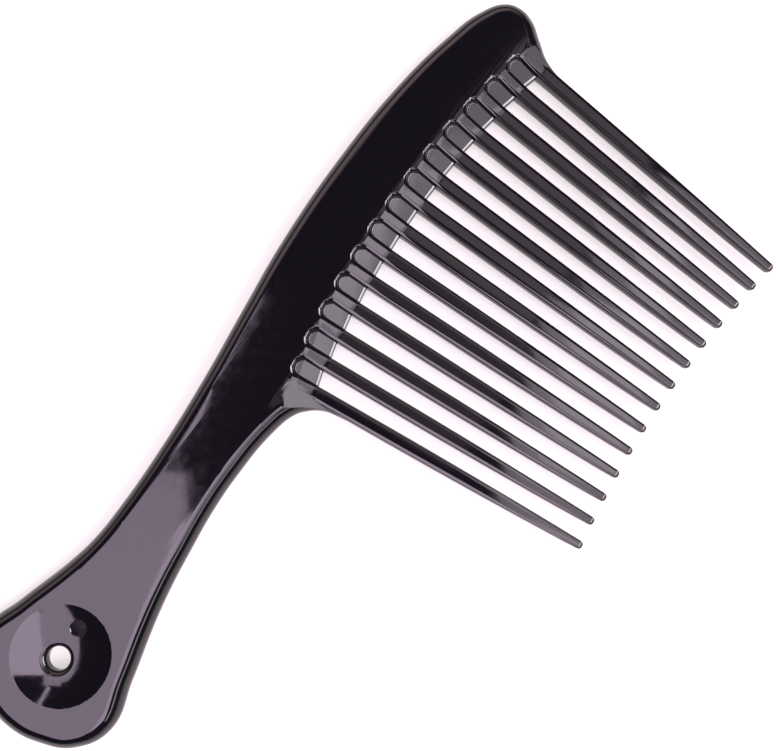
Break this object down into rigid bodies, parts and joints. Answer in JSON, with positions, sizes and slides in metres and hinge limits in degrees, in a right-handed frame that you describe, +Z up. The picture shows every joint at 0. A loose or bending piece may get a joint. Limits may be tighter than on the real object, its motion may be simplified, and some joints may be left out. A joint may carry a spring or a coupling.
{
  "type": "afro pick",
  "caption": "Wide-toothed hair comb with a long flat handle, a hanging hole in a dished pad, and long tapering teeth joined by short webs at their roots, in glossy black plastic.",
  "frame": {"origin": "under the middle of the comb lying flat, on its lower face", "axes": "+X from the hanging pad to the head end, -Y the way the teeth point, +Z up through the thickness"},
  "size_m": [0.2494, 0.1213, 0.008],
  "materials": {
    "moulding": "glossy black, injection moulded"
  },
  "bodies": {
    "root": {"hang_pad": "moulding", "grip": "moulding", "spine": "moulding", "tooth_01": "moulding", "tooth_02": "moulding", "tooth_03": "moulding", "tooth_04": "moulding", "tooth_05": "moulding", "tooth_06": "moulding", "tooth_07": "moulding", "tooth_08": "moulding", "tooth_09": "moulding", "tooth_10": "moulding", "tooth_11": "moulding", "tooth_12": "moulding", "tooth_13": "moulding", "tooth_14": "moulding", "web_01": "moulding", "web_02": "moulding", "web_03": "moulding", "web_04": "moulding", "web_05": "moulding", "web_06": "moulding", "web_07": "moulding", "web_08": "moulding", "web_09": "moulding", "web_10": "moulding", "web_11": "moulding", "web_12": "moulding", "web_13": "moulding"}
  },
  "joints": []
}
